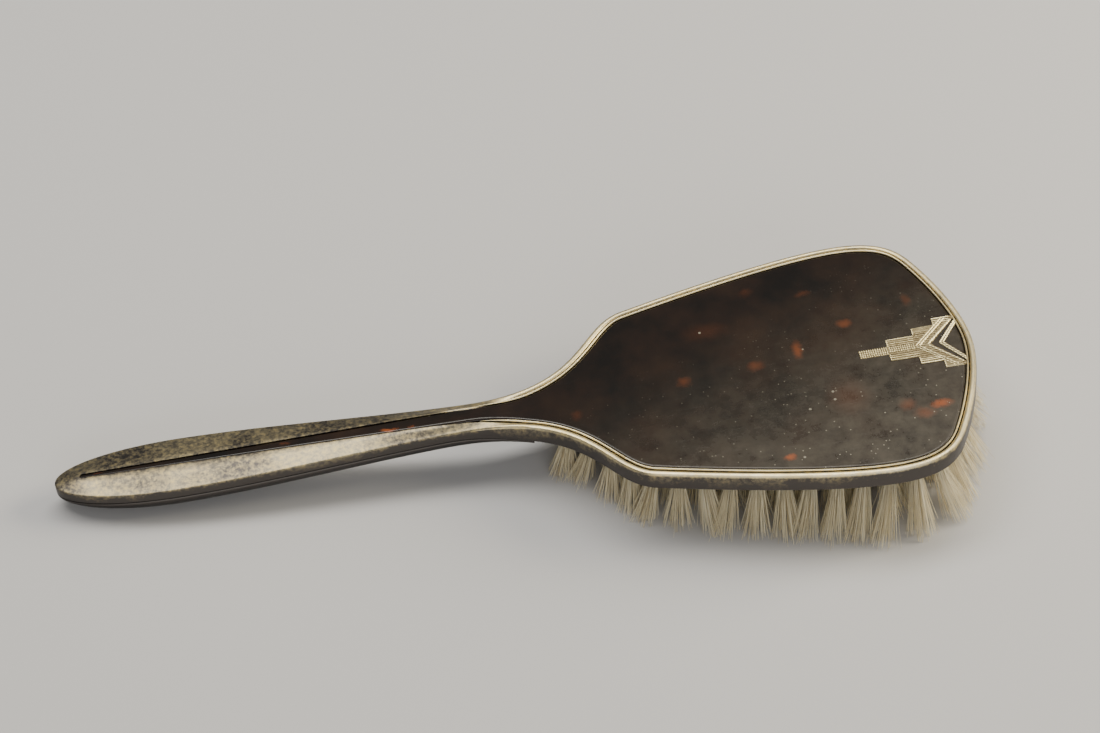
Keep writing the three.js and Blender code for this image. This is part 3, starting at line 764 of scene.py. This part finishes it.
def fan_side():
    """The fan's outline from its stem over the three steps to the bottom of the notch."""
    x = INLAY_TIP - FAN_LENGTH
    side = []
    for length, half in STEPS:
        side.append((x, half * MM))
        x += length * MM
        side.append((min(x, INLAY_TIP - 0.9 * MM), half * MM))
    return side + [(INLAY_TIP, FAN_TIP), (INLAY_TIP - NOTCH_DEPTH, 0)]


def bar_between(bm, start, end, width, high):
    """A bevelled bar from point to point, standing on the panel's face."""
    start, end = Vector(start), Vector(end)
    run = end - start
    across = Vector((-run.y, run.x)).normalized() * width / 2
    corners = [start - across, end - across, end + across, start + across]
    draw_plate(bm, [tuple(c) for c in corners], 0, high, bevel=width * 0.22)


def finish_growth(tree, geometry, material, result):
    """The end of a geometry tree: every instance made real, in its material."""
    real = add_node(tree, "GeometryNodeRealizeInstances", {}, geometry)
    painted = add_node(tree, "GeometryNodeSetMaterial", {}, Geometry=real.outputs[0], Material=material)
    fill(tree, result.inputs[0], painted.outputs[0])
    return tree


def ribs_tree():
    """Geometry nodes that set equal round ribs side by side along a straight line."""
    tree, given, result = new_group(
        "ribs_in_line",
        [("Start", "Vector", None), ("Pitch", "Vector", None), ("Count", "Int", 12),
         ("Rib radius", "Float", 0.2 * MM), ("Rib length", "Float", 2.8 * MM),
         ("Material", "Material", None)],
        [("Ribs", "Geometry")], "GeometryNodeTree",
    )
    line = add_node(tree, "GeometryNodeMeshLine", {}, Start_Location=given["Start"], Offset=given["Pitch"],
                    Count=given["Count"])
    rib = add_node(tree, "GeometryNodeMeshCylinder", {}, Vertices=RIB_SIDES, Radius=given["Rib radius"],
                   Depth=given["Rib length"])
    placed = add_node(tree, "GeometryNodeInstanceOnPoints", {}, Points=line.outputs[0],
                      Instance=rib.outputs["Mesh"], Rotation=(math.pi / 2, 0, 0))
    return finish_growth(tree, placed.outputs[0], given["Material"], result)


def socket_names(tree):
    return {item.name: item.identifier for item in tree.interface.items_tree if item.in_out == "INPUT"}


def grow(carrier, tree, inputs):
    """The plain mesh that a geometry tree grows on the carrier, which is then removed."""
    growth = carrier.modifiers.new("growth", "NODES")
    growth.node_group = tree
    identifiers = socket_names(tree)
    for label, value in inputs.items():
        growth[identifiers[label]] = value
    seen = carrier.evaluated_get(bpy.context.evaluated_depsgraph_get())
    mesh = bpy.data.meshes.new_from_object(seen)
    bpy.data.objects.remove(carrier)
    return mesh


ribs_in_line = ribs_tree()


def add_ribs(bm, start, end, length):
    """Round ribs half sunk in the plate from start to end along the brush's middle."""
    carrier = bpy.data.objects.new("ribs", bpy.data.meshes.new("ribs"))
    bpy.context.collection.objects.link(carrier)
    count = round((end - start) / RIB_PITCH)
    pitch = (end - start) / count
    ribs = grow(carrier, ribs_in_line, {
        "Start": (start + pitch / 2, 0, INLAY_PROUD - PANEL_RECESS - RIB_SINK),
        "Pitch": (pitch, 0, 0),
        "Count": count,
        "Rib radius": pitch * 0.31,
        "Rib length": length,
        "Material": engraved_silver,
    })
    bm.from_mesh(ribs)
    bpy.data.meshes.remove(ribs)


def draw_fan(bm):
    draw_plate(bm, both_sides(fan_side()), -INLAY_SUNK, INLAY_PROUD, dark=0.85)
    start = INLAY_TIP - FAN_LENGTH
    add_ribs(bm, start + 0.2 * MM, INLAY_TIP - NOTCH_DEPTH - 4.3 * MM, 2.0 * MM)
    slope = FAN_TIP / (NOTCH_DEPTH + 0.2 * MM)
    for sign in (1, -1):
        # The raised bars of the V round the notch: how far each lies behind it, and its width.
        for back, width in ((4.1, 0.3), (3.1, 0.42), (0.75, 0.5)):
            vertex = INLAY_TIP - NOTCH_DEPTH - back * MM
            reach = min(INLAY_TIP - (back * 0.3 + 0.7) * MM, INLAY_TIP - 1.1 * MM)
            high = (reach - vertex) * slope
            share = min(1, 8.9 * MM / high)
            stop = (vertex + (reach - vertex) * share, sign * high * share)
            bar_between(bm, (vertex, 0.1 * sign * MM), stop, width * MM, INLAY_PROUD + 0.15 * MM)
        # The lines along every step: how far each lies inside the step's edge, and its width.
        x = start
        for length, half in STEPS:
            stop = min(x + length * MM, INLAY_TIP - 1.4 * MM)
            for inset, width in ((0.26, 0.36), (1.1, 0.2), (1.75, 0.2)):
                y = sign * (half - inset) * MM
                bar_between(bm, (x + 0.1 * MM, y), (stop, y), width * MM, LINE_HEIGHT)
            end_x = x + 0.2 * MM
            outer, inner = sign * (half - 0.2) * MM, sign * max(half - 2.7, 1.4) * MM
            bar_between(bm, (end_x, outer), (end_x, inner), 0.36 * MM, LINE_HEIGHT)
            x += length * MM


def draw_stem(bm):
    start = INLAY_TIP - FAN_LENGTH - STEM_LENGTH
    end = start + STEM_LENGTH
    corners = [(start, -STEM_HALF), (end, -STEM_HALF), (end, STEM_HALF), (start, STEM_HALF)]
    draw_plate(bm, corners, -INLAY_SUNK, INLAY_PROUD * 0.6, dark=0.9)
    add_ribs(bm, start, end, 2 * STEM_HALF * 0.94)


def draw_chevron(bm):
    vertex = INLAY_TIP - CHEVRON_DEPTH
    arm_end = [(INLAY_TIP, CHEVRON_TIP), (INLAY_TIP + 0.25 * MM, CHEVRON_TIP - CHEVRON_WIDTH)]
    other_arm_end = [(x, -y) for x, y in reversed(arm_end)]
    outline = [(vertex, 0), *arm_end, (vertex + CHEVRON_WIDTH, 0), *other_arm_end]
    draw_plate(bm, outline, -INLAY_SUNK, INLAY_PROUD + 0.05 * MM, dark=0.8)
    for sign in (1, -1):
        for inset in (0.3 * MM, 1.15 * MM):
            tip = (INLAY_TIP - 0.1 * MM, sign * (CHEVRON_TIP - inset - 0.1 * MM))
            bar_between(bm, (vertex + inset, 0.1 * sign * MM), tip, 0.4 * MM, INLAY_PROUD + 0.14 * MM)


def inlay_material():
    """Pale silver engraved with fine lines along the brush."""
    material, tree, shader = shader_material("engraved_silver")
    place = object_place(tree)
    lines = add_node(tree, "ShaderNodeTexWave", {"bands_direction": "Y"}, Vector=place,
                     Scale=420.0, Distortion=1.2, Detail=2.0)
    painted_dark_and_tarnish = place_group(tree, painted_dark_and_cloudy_tarnish, Position=place, Gathered=read_surface(tree, "painted_dark_and_tarnish"),
                          Cloud_Scale=900.0, Spread=0.3).outputs
    fill_named(tree, shader, {
        "Base Color": mix_colors(tree, painted_dark_and_tarnish["Mask"], (0.92, 0.8, 0.47, 1), (0.2, 0.155, 0.085, 1)),
        "Metallic": 1,
        "Roughness": 0.38,
    })
    height = calculate(tree, "ADD", lines.outputs["Fac"], painted_dark_and_tarnish["Speckle"])
    raise_surface(tree, shader, height, 0.7, 0.05 * MM)
    return material


engraved_silver = inlay_material()
for name, draw, node in (
    ("inlay_fan", draw_fan, "inlay_stepped_fan"),
    ("inlay_stem", draw_stem, "inlay_ribbed_stem"),
    ("inlay_arrow", draw_chevron, "inlay_chevron"),
):
    plate = new_piece(name, draw, sharp_angle=math.radians(20))
    plate.data.materials.append(engraved_silver)
    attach(plate, "root")
    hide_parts(node)


# ---------- Wooden stock, its cover and the hidden fillings ----------
# The stock is a waxed beech block drilled for the tufts, with a thin cover over the wires. Cement beds
# the panel, pitch fills the handle and a steel rod ties the two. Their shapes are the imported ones.

def plain_material(name, pattern_scale, stretch, colors, detail, roughness, grain=0.5, metallic=0, bump=None):
    """Two colours mixed by a noise that may be stretched along the brush, with an optional relief."""
    material, tree, shader = shader_material(name)
    place = object_place(tree)
    if stretch:
        place = stretched(tree, place, stretch)
    pattern = add_noise(tree, place, pattern_scale, detail, grain).outputs["Fac"]
    fill_named(tree, shader, {
        "Base Color": mix_colors(tree, pattern, *colors), "Metallic": metallic, "Roughness": roughness})
    if bump:
        raise_surface(tree, shader, pattern, *bump)
    return material


def refinish(node, material):
    data = frame["nodes"][node].data
    data.materials.clear()
    data.materials.append(material)


waxed_beech = plain_material(
    "waxed_beech", 1.0, (60.0, 900.0, 900.0), ((0.05, 0.026, 0.014, 1), (0.17, 0.1, 0.055, 1)),
    detail=6.0, roughness=0.5, grain=0.65, bump=(0.3, 0.1 * MM))
dark_pitch = plain_material(
    "dark_pitch", 500.0, None, ((0.012, 0.01, 0.009, 1), (0.05, 0.04, 0.032, 1)),
    detail=5.0, roughness=0.75, bump=(0.4, 0.2 * MM))
drawn_steel = plain_material(
    "drawn_steel", 1.0, (40.0, 3000.0, 3000.0), ((0.25, 0.25, 0.26, 1), (0.5, 0.5, 0.51, 1)),
    detail=3.0, roughness=0.4, metallic=1)
refinish("bristle_block", waxed_beech)
refinish("bristle_block_cover", waxed_beech)
refinish("panel_cement_bed", dark_pitch)
refinish("handle_pitch_filling", dark_pitch)
refinish("handle_core_rod", drawn_steel)


# ---------- Bristle tufts ----------
# Natural boar bristle, drawn in bunches through the stock's holes and trimmed level. The two border
# rows splay outward, and every bunch opens from its hole to a ragged brush of separate bristles.

BORDER_SPLAY = 0.335
SECOND_SPLAY = 0.18
ROOT_IN_BLOCK = 0.5 * MM
RING_GAP = 2.3 * MM             # points nearer than this belong to the same tuft
UNEVEN_LEAN = 0.19
UNEVEN_SPLAY = 0.05
STRAY_RARITY = 2.4
LONGEST_BRISTLE = 1.03          # as a share of the way to the floor
LOCK_SIZE = 0.62                # as a share of the tuft's radius
BRISTLE_STATIONS = 6
FLOOR_CLEARANCE = 0.02 * MM


def tuft_roots(node):
    """Middles of the tufts of one row where they leave the stock, in the brush's frame."""
    ring_points = {}
    for vertex in frame["nodes"][node].data.vertices:
        point = pick_up @ vertex.co
        if abs(point.z - block_foot) < 0.02 * MM:
            ring_points[(round(point.x, 6), round(point.y, 6))] = point.xy
    loose = list(ring_points.values())
    roots = []
    while loose:
        bunch = [loose.pop()]
        grown = True
        while grown:
            near = [p for p in loose if any((p - q).length < RING_GAP for q in bunch)]
            loose = [p for p in loose if not any(p is n for n in near)]
            bunch += near
            grown = bool(near)
        roots.append(sum(bunch, Vector((0, 0))) / len(bunch))
    return sorted(roots, key=lambda root: (root.y, root.x))


def outward_at(point):
    """Outward from the brush at a tuft that stands some way inside the rim."""
    beside = Vector((point.x, abs(point.y)))
    _, outward = min(half_plan, key=lambda station: (station[0] - station[1] * 8 * MM - beside).length)
    return Vector((outward.x, math.copysign(outward.y, point.y)))


def floor_drop(x):
    """From the stock's face straight down the brush's own z to the floor."""
    return block_foot + (crest_z + x * math.sin(lean)) / math.cos(lean)


unevenness = random.Random(31)


def tuft_points(node, splay):
    """A carrier with one point for each tuft, which knows how its tuft leans and how far it falls."""
    roots = tuft_roots(node)
    leans = []
    for root in roots:
        outward = outward_at(root)
        sideways = Vector((-outward.y, outward.x)) * unevenness.uniform(-UNEVEN_LEAN, UNEVEN_LEAN)
        leans += [*(outward * (splay - unevenness.uniform(0, UNEVEN_SPLAY)) + sideways), 0]
    drops = [floor_drop(root.x) for root in roots]
    mesh = bpy.data.meshes.new(node + "_roots")
    mesh.from_pydata([(root.x, root.y, block_foot + ROOT_IN_BLOCK) for root in roots], [], [])
    mesh.attributes.new("lean", "FLOAT_VECTOR", "POINT").data.foreach_set("vector", leans)
    mesh.attributes.new("drop", "FLOAT", "POINT").data.foreach_set("value", drops)
    points = bpy.data.objects.new(node + "_roots", mesh)
    bpy.context.collection.objects.link(points)
    return points


def tuft_tree():
    """Geometry nodes that grow a bunch of bristles from every root point."""
    tree, given, result = new_group(
        "bristle_bunches",
        [("Roots", "Geometry", None), ("Bristles per tuft", "Int", 145), ("Tuft radius", "Float", 1.6 * MM),
         ("Tip spread", "Float", 2.3 * MM), ("Bristle radius", "Float", 0.09 * MM),
         ("Raggedness", "Float", 0.2), ("Stray", "Float", 2.0 * MM), ("Seed", "Int", 7),
         ("Material", "Material", None)],
        [("Bristles", "Geometry")], "GeometryNodeTree",
    )

    def calc(operation, *values):
        return calculate(tree, operation, *values)

    def calc_vector(operation, *values, scale=None):
        return calculate_vector(tree, operation, *values, scale=scale)

    def random_value(high, salt):
        node = add_node(tree, "FunctionNodeRandomValue", {"data_type": "FLOAT"},
                        Seed=calc("ADD", given["Seed"], salt))
        node.inputs[2].default_value = 0.0
        node.inputs[3].default_value = high
        return node.outputs[1]

    def store(geometry, name, value, kind="FLOAT"):
        return add_node(tree, "GeometryNodeStoreNamedAttribute", {"data_type": kind, "domain": "POINT"},
                        Geometry=geometry, Name=name, Value=value).outputs[0]

    def read(name, kind="FLOAT"):
        node = add_node(tree, "GeometryNodeInputNamedAttribute", {"data_type": kind}, Name=name)
        return node.outputs["Attribute"]

    def combine(*parts):
        return add_node(tree, "ShaderNodeCombineXYZ", {}, *parts).outputs[0]

    def around(reach, angle):
        across = calc("MULTIPLY", reach, calc("COSINE", angle))
        return combine(across, calc("MULTIPLY", reach, calc("SINE", angle)))

    # Every root is copied once for each bristle, and every copy keeps its own chances.
    points = add_node(tree, "GeometryNodeMeshToPoints", {}, Mesh=given["Roots"])
    root = add_node(tree, "GeometryNodeInputPosition", {}).outputs[0]
    rooted = store(points.outputs[0], "root", root, "FLOAT_VECTOR")
    bunch = add_node(tree, "GeometryNodeDuplicateElements", {"domain": "POINT"}, Geometry=rooted,
                     Amount=given["Bristles per tuft"]).outputs["Geometry"]
    disc = around(calc("POWER", random_value(1.0, 2), 0.5), random_value(2 * math.pi, 1))
    bunch = store(bunch, "disc", disc, "FLOAT_VECTOR")
    stray = around(calc("POWER", random_value(1.0, 4), STRAY_RARITY), random_value(2 * math.pi, 3))
    bunch = store(bunch, "stray", stray, "FLOAT_VECTOR")
    bunch = store(bunch, "strand", random_value(1.0, 5))
    bunch = store(bunch, "shortfall", calc("POWER", random_value(1.0, 6), 2.2))

    # A straight line stands at every copy, and t runs along it from root to tip.
    line = add_node(tree, "GeometryNodeCurvePrimitiveLine", {}, End=(0, 0, -1))
    stations = add_node(tree, "GeometryNodeResampleCurve", {}, Curve=line.outputs[0], Count=BRISTLE_STATIONS)
    grown = add_node(tree, "GeometryNodeInstanceOnPoints", {}, Points=bunch, Instance=stations.outputs[0])
    real = add_node(tree, "GeometryNodeRealizeInstances", {}, grown.outputs[0])
    along = add_node(tree, "GeometryNodeSplineParameter", {}).outputs["Factor"]
    curves = store(real.outputs[0], "along", along)
    t = read("along")
    bend = calc("POWER", t, 1.35)

    # It falls to the trimmed length, leans with its tuft, opens out in locks and strays a little.
    drop = read("drop")
    ragged = calc("MULTIPLY", given["Raggedness"], read("shortfall"))
    length = calc("MULTIPLY", drop, calc("SUBTRACT", LONGEST_BRISTLE, ragged))
    fall = calc("MULTIPLY", calc("ADD", length, ROOT_IN_BLOCK), t)
    run = calc_vector("SCALE", read("lean", "FLOAT_VECTOR"), scale=calc("MULTIPLY", drop, bend))
    opening = calc("ADD", given["Tuft radius"], calc("MULTIPLY", given["Tip spread"], bend))
    own = read("disc", "FLOAT_VECTOR")
    lock = calc_vector("SNAP", own, (LOCK_SIZE, LOCK_SIZE, LOCK_SIZE))
    lock = calc_vector("ADD", lock, (LOCK_SIZE / 2, LOCK_SIZE / 2, 0.0))
    drawn = calc_vector("SCALE", calc_vector("SUBTRACT", lock, own), scale=calc("MULTIPLY", t, 0.5))
    inside = calc_vector("SCALE", calc_vector("ADD", own, drawn), scale=opening)
    wandering = calc_vector(
        "SCALE", read("stray", "FLOAT_VECTOR"), scale=calc("MULTIPLY", given["Stray"], bend))
    place = calc_vector("ADD", read("root", "FLOAT_VECTOR"), run)
    place = calc_vector("ADD", place, inside)
    place = calc_vector("ADD", place, wandering)
    place = calc_vector("SUBTRACT", place, combine(None, None, fall))
    shaped = add_node(tree, "GeometryNodeSetPosition", {}, Geometry=curves, Position=place)

    # Its section is a triangle of radius 1, scaled down to the bristle and tapered to half at the tip.
    profile = add_node(tree, "GeometryNodeCurvePrimitiveCircle", {}, Resolution=3, Radius=1.0)
    taper = calc("SUBTRACT", 1.0, calc("MULTIPLY", t, 0.5))
    tube = add_node(tree, "GeometryNodeCurveToMesh", {}, Curve=shaped.outputs[0], Fill_Caps=True,
                    Profile_Curve=profile.outputs[0], Scale=calc("MULTIPLY", given["Bristle radius"], taper))
    smooth = add_node(tree, "GeometryNodeSetShadeSmooth", {}, Geometry=tube.outputs[0])
    return finish_growth(tree, smooth.outputs[0], given["Material"], result)


def bristle_material():
    """Cream bristle, painted darker toward the root as painted shade, each strand a little different."""
    material, tree, shader = shader_material("boar_bristle")
    strand = read_surface(tree, "strand")
    body = add_node(tree, "ShaderNodeValToRGB", {}, strand)
    body.color_ramp.elements[0].color = (0.5, 0.4, 0.24, 1)
    body.color_ramp.elements[1].color = (0.97, 0.9, 0.68, 1)
    middle = body.color_ramp.elements.new(0.35)
    middle.color = (0.9, 0.8, 0.54, 1)
    shade = remap(tree, read_surface(tree, "along"), 0.0, 0.5, 0.6, 1.0)
    fill_named(tree, shader, {
        "Base Color": mix_colors(tree, 1.0, body.outputs["Color"], shade, "MULTIPLY"),
        "Roughness": remap(tree, strand, 0.0, 1.0, 0.32, 0.5),
        "Specular IOR Level": 0.4,
    })
    return material


bristle_bunches = tuft_tree()
boar_bristle = bristle_material()


def grow_row(name, node, splay, seed):
    mesh = grow(tuft_points(node, splay), bristle_bunches, {"Seed": seed, "Material": boar_bristle})
    mesh.name = name
    mesh.transform(lay_down)
    for vertex in mesh.vertices:
        vertex.co.z = max(vertex.co.z, FLOOR_CLEARANCE)
    row = bpy.data.objects.new(name, mesh)
    bpy.context.collection.objects.link(row)
    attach(row, "root")
    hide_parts(node)


grow_row("border_bristles", "bristle_border_row", BORDER_SPLAY, 11)
grow_row("second_bristles", "bristle_second_row", SECOND_SPLAY, 23)
inner_nodes = sorted(node for node in frame["nodes"] if node.startswith("bristle_row_"))
for index, node in enumerate(inner_nodes):
    grow_row(node.replace("bristle_row", "inner_bristles"), node, 0.0, 40 + index)
